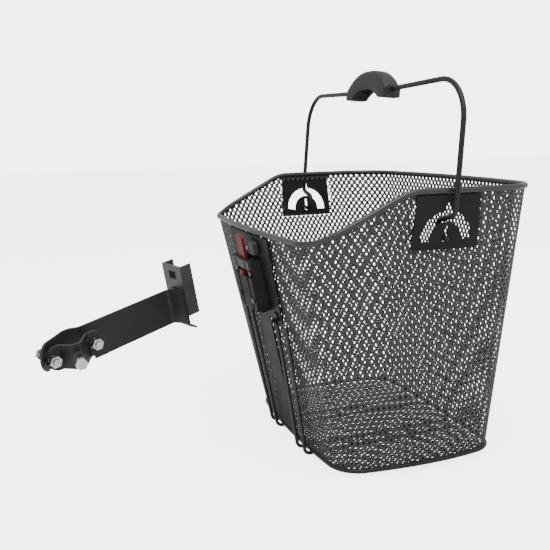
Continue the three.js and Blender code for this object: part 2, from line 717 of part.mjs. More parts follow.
function hexagon(flats) {
  const radius = flats / Math.sqrt(3);
  const corners = [...Array(6).keys()].map((k) =>
    new THREE.Vector2(radius * Math.cos(k * Math.PI / 3), radius * Math.sin(k * Math.PI / 3)));
  return new THREE.Shape(corners);
}

// A hexagon nut or head along y, with a hole where a bolt passes.
function hexPiece(flats, y0, y1, hole = 0) {
  const shape = hexagon(flats);
  if (hole > 0) {
    const bore = new THREE.Path();
    bore.absarc(0, 0, hole, 0, 2 * Math.PI);
    shape.holes.push(bore);
  }
  return slabXZ(shape, y0, y1, { curveSegments: 8 });
}

function makeClampPlate() {
  const inner = SHEET / 2 + 2 * GAP;
  const depth = [inner, inner + CLAMP_PLATE_THICK];
  const plate = box(-CLAMP_PLATE_HALF, CLAMP_PLATE_HALF, ...depth, CLAMP_PLATE_LOW, CLAMP_PLATE_HIGH);
  return cut(plate, ...boltHoles());
}

function makeLever() {
  const depth = [-LEVER_FACE, LEVER_THICK - LEVER_FACE];
  const shoulder = LEVER_TOP - LEVER_TIP_FLATNESS * LEVER_HALF;
  const blade = box(-LEVER_HALF, LEVER_HALF, ...depth, LEVER_PIVOT_Z, shoulder);
  const tip = rod('y', LEVER_HALF, ...depth, 24).scale(1, 1, LEVER_TIP_FLATNESS).translate(0, 0, shoulder);
  const noseZ = [NOSE_Z - NOSE_HEIGHT / 2, NOSE_Z + NOSE_HEIGHT / 2];
  const nose = box(-NOSE_HALF, NOSE_HALF, -NOSE_TIP, 1 - LEVER_FACE, ...noseZ);
  const eye = atLeverPivot(rod('x', LEVER_EYE_RADIUS, -LEVER_HALF, LEVER_HALF, 20));
  const bore = atLeverPivot(rod('x', PIN_RADIUS + GAP, -2 * LEVER_HALF, 2 * LEVER_HALF, 16));
  return cut(join(blade, tip, nose, eye), bore);
}

// A leaf spring between the backing plate and the lever's blade.
function makeSpring() {
  const { low, middle, high, lift, thick, half } = SPRING;
  const line = rounded([
    new THREE.Vector3(low, 0, 0), new THREE.Vector3(middle, 0, 0), new THREE.Vector3(high, -lift, 0),
  ], 6, 4);
  return strip(line, thick, -half, half).rotateY(-Math.PI / 2).translate(0, -housingInner - 2 * GAP, 0);
}

function makeBoss() {
  const shape = new THREE.Shape();
  const { x0, x1, z0, z1, corner: r } = BOSS;
  shape.moveTo(x0, z0 + r);
  shape.quadraticCurveTo(x0, z0, x0 + r, z0);
  shape.lineTo(x1 - r, z0);
  shape.quadraticCurveTo(x1, z0, x1, z0 + r);
  shape.lineTo(x1, z1 - r);
  shape.quadraticCurveTo(x1, z1, x1 - r, z1);
  shape.lineTo(x0 + r, z1);
  shape.quadraticCurveTo(x0, z1, x0, z1 - r);
  return slabXZ(shape, -BOSS.face, -housingInner, { bevel: 1, curveSegments: 4 });
}

function makeBossScrew() {
  const face = BOSS.face + GAP;
  const [x, z] = [BOSS.x0 + BOSS.corner, (BOSS.z0 + BOSS.z1) / 2];
  return rod('y', SCREW_RADIUS, -face - 1.1, -face, 12).translate(x, 0, z);
}

// Vertical strap from the housing down to the base, and the small tab beside the housing.
function makeStrap() {
  const top = BACKING_BOTTOM - GAP;
  const bottom = -(RECEIVER_Z - BASE_WIRE_Z) / Math.cos(backLean) + 6;
  return box(-STRAP_HALF, STRAP_HALF, -(SHEET / 2 + GAP + STRAP_THICK), -(SHEET / 2 + GAP), bottom, top);
}

function makeTab() {
  const inner = -backingOuter - GAP;
  const across = [TAB.x - TAB.half, TAB.x + TAB.half];
  const flat = box(...across, inner - TAB.thick, inner, TAB.low, TAB.high);
  const lip = box(...across, inner - TAB.lip, inner, TAB.low, TAB.low + TAB.thick);
  return join(flat, lip);
}

// ---------------------------------------------------------------- bracket

// Drawn in a frame with the origin at the middle of the web's top edge: x across, y towards the
// basket from the web's outer face, z up.
function makeChannel() {
  const web = box(-CHANNEL_HALF, CHANNEL_HALF, 0, CHANNEL_SHEET, -CHANNEL_TALL, 0);
  const flanges = [-CHANNEL_HALF, CHANNEL_HALF - CHANNEL_SHEET].map((x) =>
    box(x, x + CHANNEL_SHEET, 0, CHANNEL_DEEP, -CHANNEL_TALL, 0));
  const drop = -CHANNEL_TALL - TONGUE_DROP;
  const bend = rounded([
    new THREE.Vector3(1 - CHANNEL_TALL, CHANNEL_SHEET / 2, 0),
    new THREE.Vector3(drop, CHANNEL_SHEET / 2, 0),
    new THREE.Vector3(drop - TONGUE_FOOT_FALL, TONGUE_FOOT, 0),
  ], 2.5, 4);
  const tongue = strip(bend, CHANNEL_SHEET, -TONGUE_HALF, TONGUE_HALF).rotateY(-Math.PI / 2);
  const holeZ = NOSE_Z - CHANNEL_TOP;
  const hole = box(-LATCH_HOLE_HALF, LATCH_HOLE_HALF, -2, CHANNEL_SHEET + 2,
    holeZ - LATCH_HOLE_TALL / 2, holeZ + LATCH_HOLE_TALL / 2);
  return cut(join(web, ...flanges, tongue), hole);
}

const clampMiddle = ARM_TOP - CLAMP_TALL / 2;
const planPoint = (x, out) => new THREE.Vector3(x, -out, 0);
const boltHole = ({ out }) =>
  rod('x', BOLT_RADIUS + GAP, -CLAMP_REACH, CLAMP_REACH, 16).translate(0, -out, clampMiddle);

// One plate: a foot on the web, a slant to the middle, a straight run, a bow round the stem's far
// side, and an end wrapped round towards the saddle.
function makeArm() {
  const back = GAP + ARM_SHEET / 2;
  const nearEdge = CHANNEL_HALF - ARM_SHEET / 2;
  const line = rounded([
    planPoint(nearEdge, back), planPoint(ARM_X, ARM_FLARE), planPoint(ARM_X, NEAR_BOLT.out + 2),
    planPoint(BOW_X, STEM_AT - 9), planPoint(BOW_X, STEM_AT - 3), planPoint(ARM_X + 4.2, FAR_BOLT.out - 3),
    planPoint(SADDLE_TOP - 14, ARM_END),
  ], [4, 5, 4, 8, 6], 4);
  const levels = [ARM_TOP - ARM_TALL, ARM_TOP];
  const foot = box(CHANNEL_HALF - ARM_FOOT, CHANNEL_HALF, -GAP - ARM_SHEET, -GAP, ...levels);
  const whole = join(foot, strip(line, ARM_SHEET, ...levels));
  const beyond = [-ARM_END - CLAMP_REACH, -ARM_STEP];
  const step = box(-CLAMP_REACH, CLAMP_REACH, ...beyond, ARM_TOP - ARM_TALL - 1, ARM_TOP - CLAMP_TALL);
  const end = earCut(SADDLE_TOP - 19, ARM_END + 0.5, -1, 10);
  return cut(whole, step, end, boltHole(NEAR_BOLT), boltHole(FAR_BOLT));
}

// The bulge's flat top as a step in plan, and the set bolt's frame: origin in the middle of that
// flat, y outwards along the bolt.
const flatTop = new THREE.Vector2(-Math.sin(SET_BOLT_TURN), Math.cos(SET_BOLT_TURN))
  .multiplyScalar(SADDLE_FLAT);
const setBoltPlace = new THREE.Matrix4().makeRotationZ(-Math.PI / 2 - SET_BOLT_TURN)
  .setPosition(SADDLE_TOP + flatTop.x / 2, -(STEM_AT + flatTop.y / 2), clampMiddle);

// The saddle: two ears joined by a bulge round the stem, square to the set bolt at its top.
function makeSaddle() {
  const line = rounded([
    planPoint(NEAR_BOLT.ear, NEAR_EAR_END), planPoint(NEAR_BOLT.ear, NEAR_BOLT.out + 6.5),
    planPoint(SADDLE_TOP, STEM_AT), planPoint(SADDLE_TOP + flatTop.x, STEM_AT + flatTop.y),
    planPoint(FAR_BOLT.ear, FAR_BOLT.out - 8), planPoint(FAR_BOLT.ear, FAR_EAR_END),
  ], [4, 3, 3, 3], 5);
  const height = [ARM_TOP - CLAMP_TALL, ARM_TOP];
  const setHole = rod('y', BOLT_RADIUS + GAP, -5, 5, 16).applyMatrix4(setBoltPlace);
  return cut(strip(line, CLAMP_SHEET, ...height), boltHole(NEAR_BOLT), boltHole(FAR_BOLT), setHole,
    earCut(NEAR_BOLT.ear, NEAR_EAR_END, 1), earCut(FAR_BOLT.ear, FAR_EAR_END, -1));
}

// What is cut away to round both corners of an ear, or of the plate's end.
function earCut(x, out, turn, half = 3) {
  const radius = CLAMP_TALL / 2;
  const shape = new THREE.Shape();
  shape.moveTo(-1, -radius - 1);
  shape.lineTo(radius, -radius - 1);
  shape.lineTo(radius, -radius);
  shape.absarc(radius, 0, radius, 3 * Math.PI / 2, Math.PI / 2, true);
  shape.lineTo(radius, radius + 1);
  shape.lineTo(-1, radius + 1);
  const solid = slabXZ(shape, -half, half, { curveSegments: 16 });
  return solid.rotateZ(turn * -Math.PI / 2).translate(x, -out, clampMiddle);
}

// Pieces on a clamp bolt lie along x; they are drawn along y and turned.
const alongX = (geometry, { out }) => geometry.rotateZ(-Math.PI / 2).translate(0, -out, clampMiddle);
const WASHER = { radius: 5.2, thick: 1.2 };
const earFace = ({ ear }) => ear + CLAMP_SHEET / 2 + GAP;

function makeClampBolt(place) {
  const head = hexPiece(BOLT_FLATS, place.head - BOLT_HEAD, place.head);
  const shank = rod('y', BOLT_RADIUS, place.head - 1, earFace(place) + 8.5, 16);
  return alongX(join(head, shank), place);
}

function makeWasher(place) {
  const shape = new THREE.Shape();
  shape.absarc(0, 0, WASHER.radius, 0, 2 * Math.PI);
  const bore = new THREE.Path();
  bore.absarc(0, 0, BOLT_RADIUS + GAP, 0, 2 * Math.PI);
  shape.holes.push(bore);
  return alongX(slabXZ(shape, earFace(place), earFace(place) + WASHER.thick, { curveSegments: 8 }), place);
}

function makeNut(place) {
  const start = earFace(place) + WASHER.thick + GAP;
  return alongX(hexPiece(BOLT_FLATS, start, start + 5, BOLT_RADIUS + GAP), place);
}

function makeSetBolt() {
  const head = hexPiece(BOLT_FLATS, SET_BOLT_LONG - BOLT_HEAD, SET_BOLT_LONG);
  const shank = rod('y', BOLT_RADIUS, -6, SET_BOLT_LONG - BOLT_HEAD + 1, 16);
  return join(head, shank).applyMatrix4(setBoltPlace);
}

function makeSetNut() {
  const start = CLAMP_SHEET / 2 + GAP;
  return hexPiece(BOLT_FLATS, start, start + 4, BOLT_RADIUS + GAP).applyMatrix4(setBoltPlace);
}

// ---------------------------------------------------------------- assembly

addNode('mesh_wall', makeWall(), FINISH.mesh);
addNode('mesh_base', makeBase(), FINISH.mesh);
addNode('rim_wire', closedWire(rimLine, RIM_WIRE_RADIUS), FINISH.wire);
addNode('base_frame_wire', closedWire(baseLine, BASE_WIRE_RADIUS), FINISH.wire);
SUPPORT_AT_BASE.forEach((x, i) => addNode(`support_wire_${i + 1}`, makeSupport(x), FINISH.wire));
Object.entries(plateGroups).forEach(([side, group]) => {
  model.add(group);
  addNode(`handle_plate_${side}`, makeHandlePlate(), FINISH.steel, group);
});

const handle = new THREE.Group();
handle.position.set(0, PIVOT_Y, PIVOT_Z);
handle.rotation.x = -HANDLE_TILT;
model.add(handle);
addNode('handle_wire', wire(handleRoute(), HANDLE_WIRE_RADIUS), FINISH.wire, handle);
addNode('handle_grip', makeGrip(), FINISH.grip, handle);

addNode('backing_plate', makeBacking(), FINISH.steel, receiver);
addNode('back_strap', makeStrap(), FINISH.steel, receiver);
addNode('receiver_housing', makeHousing(), FINISH.moulded, receiver);
addNode('receiver_top_band', makeBand(), FINISH.cover, receiver);
screwPlaces().forEach(([x, z], i) => {
  addNode(`receiver_screw_${i + 1}`, makeScrew(x, z), FINISH.zinc, receiver);
  const start = SHEET / 2 + 3 * GAP + CLAMP_PLATE_THICK;
  const nut = hexPiece(NUT_FLATS, start, start + NUT_THICK, SCREW_RADIUS + GAP).translate(x, 0, z);
  addNode(`receiver_nut_${i + 1}`, nut, FINISH.zinc, receiver);
});
addNode('inner_clamp_plate', makeClampPlate(), FINISH.steel, receiver);
addNode('lever_pin', atLeverPivot(rod('x', PIN_RADIUS, -PIN_HALF, PIN_HALF, 16)), FINISH.zinc, receiver);
addNode('lever_spring', makeSpring(), FINISH.zinc, receiver);
addNode('guide_boss', makeBoss(), FINISH.cover, receiver);
addNode('guide_boss_screw', makeBossScrew(), FINISH.zinc, receiver);
addNode('lower_tab', makeTab(), FINISH.steel, receiver);
addNode('release_lever', makeLever(), FINISH.red, receiver);

// The bracket is drawn docked, then swung out about a slightly leaning upright axis.
const dockTop = new THREE.Vector3(0, -CHANNEL_FACE, CHANNEL_TOP);
receiver.updateWorldMatrix(true, false);
const dockPlace = dockTop.clone().applyMatrix4(receiver.matrixWorld);
const swingAxis = new THREE.Vector3(0, Math.sin(DOCK_TILT), Math.cos(DOCK_TILT));
const swing = new THREE.Group();
swing.position.set(DOCK_RADIUS, dockPlace.y, dockPlace.z);
swing.quaternion.setFromAxisAngle(swingAxis, DOCK_SWING);
model.add(swing);
const bracket = new THREE.Group();
bracket.position.set(-DOCK_RADIUS, 0, 0);
bracket.rotation.x = backLean;
swing.add(bracket);

addNode('bracket_channel', makeChannel(), FINISH.steel, bracket);
addNode('bracket_arm', makeArm(), FINISH.steel, bracket);
addNode('clamp_saddle', makeSaddle(), FINISH.steel, bracket);
[NEAR_BOLT, FAR_BOLT].forEach((place, i) => {
  addNode(`clamp_bolt_${i + 1}`, makeClampBolt(place), FINISH.zinc, bracket);
  addNode(`clamp_washer_${i + 1}`, makeWasher(place), FINISH.zinc, bracket);
  addNode(`clamp_nut_${i + 1}`, makeNut(place), FINISH.zinc, bracket);
});
addNode('set_bolt', makeSetBolt(), FINISH.zinc, bracket);
addNode('set_nut', makeSetNut(), FINISH.steel, bracket);

export default model;
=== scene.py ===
"""Looks of the handlebar basket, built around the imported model. Metres, +Z up, +Y forwards."""

import json
import math

import bmesh
import bpy
import numpy as np
from mathutils import Matrix, Vector


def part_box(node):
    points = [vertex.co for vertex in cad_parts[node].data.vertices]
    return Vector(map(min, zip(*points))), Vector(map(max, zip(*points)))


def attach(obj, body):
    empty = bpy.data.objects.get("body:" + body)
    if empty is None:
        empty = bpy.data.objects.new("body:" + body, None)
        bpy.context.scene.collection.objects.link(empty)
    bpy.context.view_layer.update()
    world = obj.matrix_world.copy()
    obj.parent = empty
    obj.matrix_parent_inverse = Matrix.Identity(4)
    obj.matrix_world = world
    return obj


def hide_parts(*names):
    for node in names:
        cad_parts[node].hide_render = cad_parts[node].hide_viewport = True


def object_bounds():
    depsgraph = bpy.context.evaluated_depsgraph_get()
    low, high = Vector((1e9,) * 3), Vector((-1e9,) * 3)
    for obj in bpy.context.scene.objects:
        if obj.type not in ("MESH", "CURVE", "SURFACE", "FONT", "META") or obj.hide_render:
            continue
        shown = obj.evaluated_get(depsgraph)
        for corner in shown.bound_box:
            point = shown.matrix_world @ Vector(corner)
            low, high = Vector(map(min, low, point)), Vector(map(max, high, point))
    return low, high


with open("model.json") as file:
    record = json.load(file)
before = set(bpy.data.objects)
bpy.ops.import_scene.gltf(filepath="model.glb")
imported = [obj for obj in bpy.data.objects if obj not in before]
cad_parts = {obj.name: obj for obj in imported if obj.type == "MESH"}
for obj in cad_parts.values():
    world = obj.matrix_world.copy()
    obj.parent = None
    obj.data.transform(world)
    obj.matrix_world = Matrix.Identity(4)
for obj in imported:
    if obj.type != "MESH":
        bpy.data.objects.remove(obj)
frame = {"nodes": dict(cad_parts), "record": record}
cad_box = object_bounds()
nodes = frame["nodes"]
MM = 0.001

# ---------------------------------------------------------------- the basket's surface

# Corner arcs as (x, y, radius) in millimetres, and how far the sides turn away from square at each
# corner, in degrees: back edge, side at the back, side at the front, front edge.
RIM_PLAN = dict(back=(121.4, -99.6, 36.1), front=(119.4, 51.9, 47.7), turns=(4.4, 9.3, -2.2, 9.3))
BASE_PLAN = dict(back=(89.0, -58.4, 31.7), front=(93.0, 61.6, 28.5), turns=(5.6, 7.9, -9.6, 2.9))
RIM_HIGH, RIM_LOW = 279.2, 234.7    # height of the rim wire along the front half and along the back edge
RAMP_BACK, RAMP_FRONT = -130.7, -43.4    # the rim climbs between these two places along y
RAMP_SOFTNESS = 0.12                # share of the climb taken by each rounded end
RIM_WIRE_RADIUS = 2.9
BASE_WIRE_RADIUS = 2.5
BASE_WIRE_Z = 2.5
BASE_SHEET_Z = -0.4                 # middle of the base sheet
STEPS = dict(back=20, corner=48, side=60, front=20)    # points along each part of an outline


def arc_end(centre, angle):
    x, y, radius = centre
    normal = np.array([math.cos(angle), math.sin(angle)])
    return np.array([x, y]) + radius * normal, normal


def bridge(start, end, count, t0=0.0, t1=1.0):
    """Points of the quadratic curve that leaves both arc ends smoothly, from share t0 to share t1."""
    (p, m), (q, n) = start, end
    det = m[0] * n[1] - m[1] * n[0]
    meet = np.array([(m @ p) * n[1] - (n @ q) * m[1], m[0] * (n @ q) - n[0] * (m @ p)]) / det
    t = np.linspace(t0, t1, count, endpoint=False)[:, None]
    return (1 - t) ** 2 * p + 2 * t * (1 - t) * meet + t ** 2 * q


def flipped(end):
    return tuple(v * np.array([-1, 1]) for v in end)


def plan_outline(plan):
    """Closed plan outline from the middle of the back round by +X; all outlines pair up point by point."""
    back_turn, side_back, side_front, front_turn = np.radians(plan["turns"])
    back, front = plan["back"], plan["front"]
    b0, b1 = -math.pi / 2 + back_turn, -side_back
    f0, f1 = -side_front, math.pi / 2 - front_turn
    past_middle = 0.5 * (1 + 1 / STEPS["front"])
    half = np.vstack([
        bridge(flipped(arc_end(back, b0)), arc_end(back, b0), STEPS["back"], 0.5, 1.0),
        [arc_end(back, a)[0] for a in np.linspace(b0, b1, STEPS["corner"], endpoint=False)],
        bridge(arc_end(back, b1), arc_end(front, f0), STEPS["side"]),
        [arc_end(front, a)[0] for a in np.linspace(f0, f1, STEPS["corner"], endpoint=False)],
        bridge(arc_end(front, f1), flipped(arc_end(front, f1)), STEPS["front"] + 1, 0.0, past_middle),
    ])
    other = half[1:-1][::-1] * [-1, 1]
    return np.vstack([half, other])


def rim_height(y):
    """Height of the rim wire: level, a climb with rounded ends, and level again."""
    t = (y - RAMP_BACK) / (RAMP_FRONT - RAMP_BACK)
    s = RAMP_SOFTNESS
    ramp = np.where(t < s, (t + s) ** 2 / (4 * s), t)
    ramp = np.where(t > 1 - s, 1 - (1 + s - t) ** 2 / (4 * s), ramp)
    ramp = np.where(t <= -s, 0.0, np.where(t >= 1 + s, 1.0, ramp))
    return RIM_LOW + (RIM_HIGH - RIM_LOW) * ramp


rim_plan = plan_outline(RIM_PLAN)
base_plan = plan_outline(BASE_PLAN)
rim_line = np.column_stack([rim_plan, rim_height(rim_plan[:, 1])])
base_line = np.column_stack([base_plan, np.full(len(base_plan), BASE_WIRE_Z)])
COUNT = len(rim_line)


def closed_sample(values, at):
    """Values of a closed run at fractional indices."""
    at = np.mod(at, COUNT)
    low = np.floor(at).astype(int)
    share = (at - low)[..., None]
    return values[low % COUNT] * (1 - share) + values[(low + 1) % COUNT] * share


def outline_normals(line):
    along = np.roll(line, -1, axis=0) - np.roll(line, 1, axis=0)
    normal = np.column_stack([along[:, 1], -along[:, 0], np.zeros(COUNT)])
    return normal / np.linalg.norm(normal, axis=1)[:, None]


rim_normals = outline_normals(rim_line[:, :2])
base_normals = outline_normals(base_line[:, :2])
middle = (rim_line + base_line) / 2
step_lengths = np.linalg.norm(np.roll(middle, -1, axis=0) - middle, axis=1)
run = np.concatenate([[0], np.cumsum(step_lengths)])
GIRTH = run[-1]                     # length once round the middle of the wall


def index_at(share):
    """Fractional index of the place that is this share of the way round, by length."""
    return np.interp(np.mod(share, 1.0) * GIRTH, run, np.arange(COUNT + 1))


def wall_point(share, z, out):
    """Points of the wall: share of the way round, height, and offset outwards, in millimetres."""
    at = index_at(share)
    top, bottom = closed_sample(rim_line, at), closed_sample(base_line, at)
    up = ((z - bottom[..., 2]) / (top[..., 2] - bottom[..., 2]))[..., None]
    normal = closed_sample(base_normals, at) * (1 - up) + closed_sample(rim_normals, at) * up
    normal /= np.linalg.norm(normal, axis=-1)[..., None]
    return bottom + (top - bottom) * up + normal * out[..., None]


# ---------------------------------------------------------------- making objects

def link(name, mesh):
    obj = bpy.data.objects.new(name, mesh)
    bpy.context.scene.collection.objects.link(obj)
    return obj


def mesh_object(name, points, faces, smooth=True):
    """A mesh from arrays in millimetres."""
    mesh = bpy.data.meshes.new(name)
    mesh.from_pydata((np.asarray(points) * MM).tolist(), [], faces)
    mesh.validate()
    mesh.update()
    for polygon in mesh.polygons:
        polygon.use_smooth = smooth
    return link(name, mesh)


def quads_object(name, points, quads):
    """A large mesh of quads in millimetres, made in bulk, without the points that no quad uses."""
    points, quads = np.asarray(points, float), np.asarray(quads, np.int32)
    used, quads = np.unique(quads, return_inverse=True)
    quads = quads.reshape(-1, 4)
    points = points[used]
    mesh = bpy.data.meshes.new(name)
    mesh.vertices.add(len(points))
    mesh.vertices.foreach_set("co", (points * MM).ravel())
    mesh.loops.add(quads.size)
    mesh.loops.foreach_set("vertex_index", quads.ravel())
    mesh.polygons.add(len(quads))
    mesh.polygons.foreach_set("loop_start", np.arange(0, quads.size, 4, dtype=np.int32))
    mesh.polygons.foreach_set("loop_total", np.full(len(quads), 4, dtype=np.int32))
    mesh.update(calc_edges=True)
    mesh.validate()
    return link(name, mesh)


def loft_faces(rows, around, closed=False):
    """Faces between rows of points with the same number round, closed on itself or with two end faces."""
    faces = []
    for i in range(rows if closed else rows - 1):
        here, ahead = i * around, (i + 1) % rows * around
        for j in range(around):
            k = (j + 1) % around
            faces.append((here + j, here + k, ahead + k, ahead + j))
    if not closed:
        faces.append(tuple(range(around))[::-1])
        faces.append(tuple(range((rows - 1) * around, rows * around)))
    return faces


TUBE_SIDES = 20
TUBE_CHAMFER = 0.35                 # chamfer at a cut end, as a share of the radius


def tube(name, points, radius, closed=False):
    """A round wire along points in millimetres. Its cut ends are chamfered."""
    p = np.asarray(points, float)
    if closed:
        tangent = np.roll(p, -1, axis=0) - np.roll(p, 1, axis=0)
    else:
        tangent = np.gradient(p, axis=0)
    tangent /= np.linalg.norm(tangent, axis=1)[:, None]
    normal = np.zeros_like(p)
    steep = abs(tangent[0][2]) >= 0.9
    current = np.cross(tangent[0], (1.0, 0.0, 0.0) if steep else (0.0, 0.0, 1.0))
    for i, t in enumerate(tangent):
        current = current - t * (current @ t)
        current /= np.linalg.norm(current)
        normal[i] = current
    other = np.cross(tangent, normal)
    radii = np.full(len(p), float(radius))
    if not closed:
        cap = radius * TUBE_CHAMFER
        p = np.vstack([p[0], p[0] + tangent[0] * cap, p[1:-1], p[-1] - tangent[-1] * cap, p[-1]])
        normal = np.vstack([normal[0], normal[0], normal[1:-1], normal[-1], normal[-1]])
        other = np.vstack([other[0], other[0], other[1:-1], other[-1], other[-1]])
        radii = np.concatenate([[radius - cap], np.full(len(p) - 2, float(radius)), [radius - cap]])
    angle = np.linspace(0, 2 * math.pi, TUBE_SIDES, endpoint=False)[:, None]
    ring = normal[:, None] * np.cos(angle) + other[:, None] * np.sin(angle)
    points = (p[:, None] + ring * radii[:, None, None]).reshape(-1, 3)
    return mesh_object(name, points, loft_faces(len(p), TUBE_SIDES, closed))


# ---------------------------------------------------------------- expanded metal

HOLES_AROUND = 150                  # holes in each row round the basket
ROW = 4.55                          # distance between rows, whose holes are staggered
# Strand width, sheet thickness, and how far each strand leans out of the sheet.
WALL_METAL = dict(strand=2.6, sheet=0.8, lean=0.14)
BASE_METAL = dict(strand=2.75, sheet=0.5, lean=0.0)
STRAND_ACROSS, STRAND_ALONG = 1.28, 1.9    # strand widths left between the holes of a row, and of a column
HOLE_CORNER = 0.7                   # 0.5 makes the hole a sharp diamond, 1 a rectangle
BOND_THICKER = 1.15                 # the bonds between the strands, against the sheet
STRAND_THINNER = 0.75               # and the strands' inner edges
PIECE_CELLS = 3600                  # most cells in one piece

# One cell is a diamond: its outline and the hole in it, each with eight points.
OUTLINE = np.array([(1, 0), (0.5, 0.5), (0, 1), (-0.5, 0.5), (-1, 0), (-0.5, -0.5), (0, -1), (0.5, -0.5)])
CELL_SIDES = len(OUTLINE)
IS_BOND = np.abs(OUTLINE[:, 0]) == 1


def cell_hole(half_width, half_height, strand):
    """The hole's points as shares of the cell: a diamond with blunt sides, as cut metal has."""
    across = 1 - STRAND_ACROSS * strand / (2 * half_width)
    along = 1 - STRAND_ALONG * strand / (2 * half_height)
    c = HOLE_CORNER
    shape = np.array([(1, 0), (c, c), (0, 1), (-c, c), (-1, 0), (-c, -c), (0, -1), (c, -c)])
    return shape * [across, along]


def expanded_cells(centres, half_width, half_height, metal, place, openness):
    """Points and quads of all the cells. place(u, v, out) gives points from flat coordinates."""
    hole = cell_hole(half_width, half_height, metal["strand"])
    lean = metal["lean"] * np.sign(np.round(-hole[:, 1], 3))
    layers = []
    for side in (1, -1):
        face = side * metal["sheet"] / 2
        flat = centres[:, None, :] + OUTLINE[None] * [half_width, half_height]
        out = np.broadcast_to(face * np.where(IS_BOND, BOND_THICKER, 1.0), flat.shape[:2])
        layers.append(place(flat[..., 0], flat[..., 1], out))
        flat = centres[:, None, :] + hole[None] * [half_width, half_height] * openness[:, None, None]
        out = np.broadcast_to(face * STRAND_THINNER + lean, flat.shape[:2])
        layers.append(place(flat[..., 0], flat[..., 1], out))
    points = np.stack(layers, axis=1).reshape(-1, 3)
    outer, inner, far_outer, far_inner = (layer * CELL_SIDES for layer in range(4))
    quads = []
    for k in range(CELL_SIDES):
        n = (k + 1) % CELL_SIDES
        quads.append((outer + k, outer + n, inner + n, inner + k))
        quads.append((far_outer + k, far_inner + k, far_inner + n, far_outer + n))
        quads.append((inner + k, inner + n, far_inner + n, far_inner + k))
    first = np.arange(len(centres))[:, None, None] * 4 * CELL_SIDES
    return points, (first + np.array(quads)).reshape(-1, 4)


def expanded_pieces(name, centres, half_width, half_height, metal, place, openness, paint):
    """The cells as pieces that ride the basket and replace the plain sheet of this name."""
    for k in range(0, len(centres), PIECE_CELLS):
        part = slice(k, k + PIECE_CELLS)
        points, quads = expanded_cells(centres[part], half_width, half_height, metal, place, openness[part])
        piece = quads_object(f"{name}_{k // PIECE_CELLS + 1}", points, quads)
        piece.data.materials.append(paint)
        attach(piece, "basket")
        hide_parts(name)


# ---------------------------------------------------------------- materials

NOISE_DETAIL, GRAIN_DETAIL = 4.0, 2.0
PATCH = 40.0                        # noise scale of the slow drift of colour and gloss
GRAIN = 900.0                       # noise scale of the fine grain
BUMP, GRAIN_DEPTH = 0.15, 0.0003    # strength and height of the grain's bumps


def material(name, color, roughness, specular, metallic=0.0):
    made = bpy.data.materials.new(name)
    made.use_nodes = True
    shader = made.node_tree.nodes["Principled BSDF"]
    shader.inputs["Base Color"].default_value = (*color, 1)
    shader.inputs["Roughness"].default_value = roughness
    shader.inputs["Metallic"].default_value = metallic
    shader.inputs["Specular IOR Level"].default_value = specular
    return made, made.node_tree, shader


def add_noise(tree, scale, detail=NOISE_DETAIL):
    texture = tree.nodes.new("ShaderNodeTexNoise")
    texture.inputs["Scale"].default_value = scale
    texture.inputs["Detail"].default_value = detail
    coords = tree.nodes.new("ShaderNodeTexCoord")
    tree.links.new(coords.outputs["Object"], texture.inputs["Vector"])
    return texture.outputs["Fac"]


def color_between(tree, value, low, high):
    """A colour that goes from low to high over the middle of the noise's range."""
    node = tree.nodes.new("ShaderNodeValToRGB")
    first, last = node.color_ramp.elements
    first.position, last.position = 0.35, 0.65
    first.color, last.color = (*low, 1), (*high, 1)
    tree.links.new(value, node.inputs["Fac"])
    return node.outputs["Color"]


def value_between(tree, value, low, high):
    node = tree.nodes.new("ShaderNodeMapRange")
    node.inputs["From Min"].default_value = 0.3
    node.inputs["From Max"].default_value = 0.7
    node.inputs["To Min"].default_value = low
    node.inputs["To Max"].default_value = high
    tree.links.new(value, node.inputs["Value"])
    return node.outputs["Result"]


def bump(tree, shader, value, strength, distance):
    node = tree.nodes.new("ShaderNodeBump")
    node.inputs["Strength"].default_value = strength
    node.inputs["Distance"].default_value = distance
    tree.links.new(value, node.inputs["Height"])
    tree.links.new(node.outputs["Normal"], shader.inputs["Normal"])


def varied(name, low, high, roughness, specular=0.5, metallic=0.0, grain=GRAIN, patch=PATCH, depth=BUMP):
    """A finish whose colour and gloss drift slowly over the surface, with a fine grain."""
    made, tree, shader = material(name, low, roughness[0], specular, metallic)
    drift = add_noise(tree, patch)
    fine = add_noise(tree, grain, GRAIN_DETAIL)
    tree.links.new(color_between(tree, drift, low, high), shader.inputs["Base Color"])
    tree.links.new(value_between(tree, drift, *roughness), shader.inputs["Roughness"])
    bump(tree, shader, fine, depth, GRAIN_DEPTH)
    return made


black_mesh = varied(
    "black_coated_mesh", (0.02, 0.02, 0.0205), (0.03, 0.03, 0.031), (0.4, 0.5), specular=0.35, grain=1500)
# A darker copy of the mesh coating for the base alone: painted shade, darkening the base where the top light
# falls on it.
base_mesh_painted_shade = varied(
    "black_coated_mesh_painted_shade", (0.006, 0.006, 0.0062), (0.01, 0.01, 0.0103), (0.45, 0.55), specular=0.15,
    grain=1500)
# The wire coating in two copies: this lighter one, for the rim and support wires, has its colour raised for a
# painted highlight on the rim.
lit_wire_paint = varied(
    "black_coated_wire_painted_light", (0.011, 0.011, 0.0115), (0.017, 0.017, 0.018), (0.3, 0.42), specular=0.45,
    grain=1500)
black_sheet = varied(
    "black_coated_sheet", (0.007, 0.007, 0.0072), (0.011, 0.011, 0.0113), (0.45, 0.58), specular=0.12,
    grain=1200)
bracket_paint = varied(
    "black_bracket_paint", (0.009, 0.009, 0.0093), (0.013, 0.013, 0.0135), (0.4, 0.5), specular=0.25,
    grain=700)
